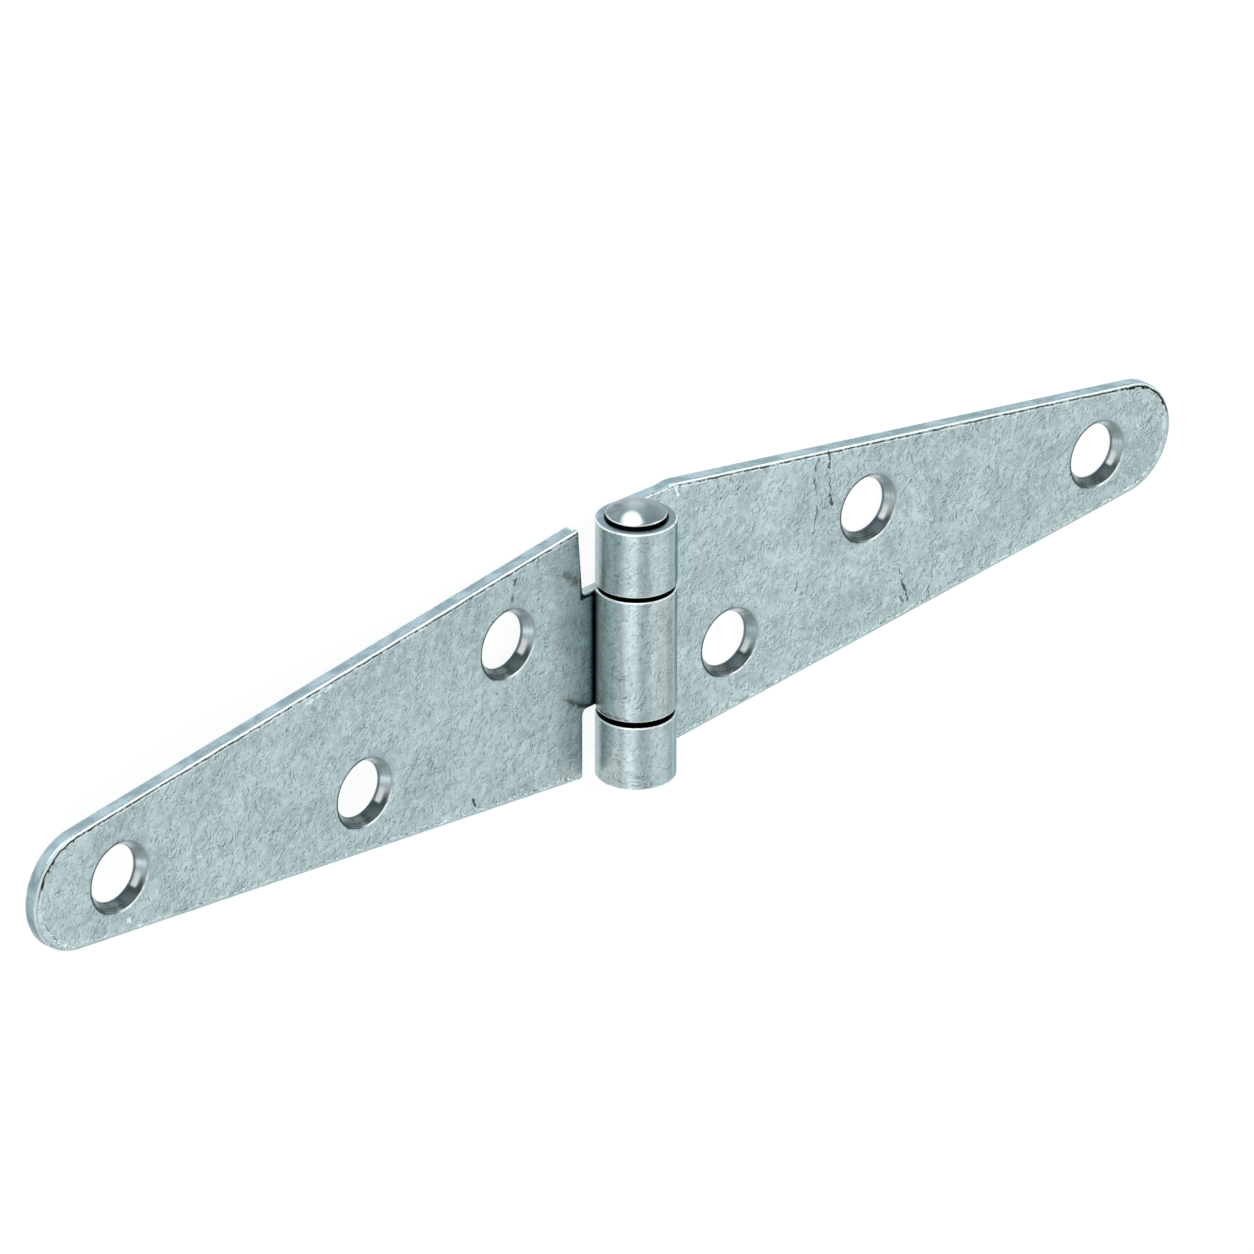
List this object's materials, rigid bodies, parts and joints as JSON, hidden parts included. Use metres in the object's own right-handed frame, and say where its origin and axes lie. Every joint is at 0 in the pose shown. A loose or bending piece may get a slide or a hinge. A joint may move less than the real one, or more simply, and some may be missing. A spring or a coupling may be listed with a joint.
{
  "type": "strap hinge",
  "caption": "Light strap hinge: two long tapered round-tipped leaves with countersunk screw holes, rolled knuckles and a riveted pin.",
  "frame": {"origin": "on the mounting plane, straight below the middle of the pin", "axes": "+X towards the tip of the leaf with two knuckles, +Y along the pin, +Z out of the countersunk front face"},
  "size_m": [0.1507, 0.031, 0.0088],
  "materials": {
    "leaf_zinc": "mottled zinc plating on pressed steel sheet",
    "pin_zinc": "smooth zinc plating on a formed steel rivet"
  },
  "bodies": {
    "outer_leaf": {"outer_knuckle_leaf": "leaf_zinc", "rivet_pin": "pin_zinc"},
    "centre_leaf": {"centre_knuckle_leaf": "leaf_zinc"}
  },
  "joints": [
    {"name": "leaf_fold", "type": "hinge", "parent": "outer_leaf", "child": "centre_leaf", "pos_m": [0, 0, 0.004], "axis": [0, 1, 0], "range_deg": [-98, 174]}
  ]
}
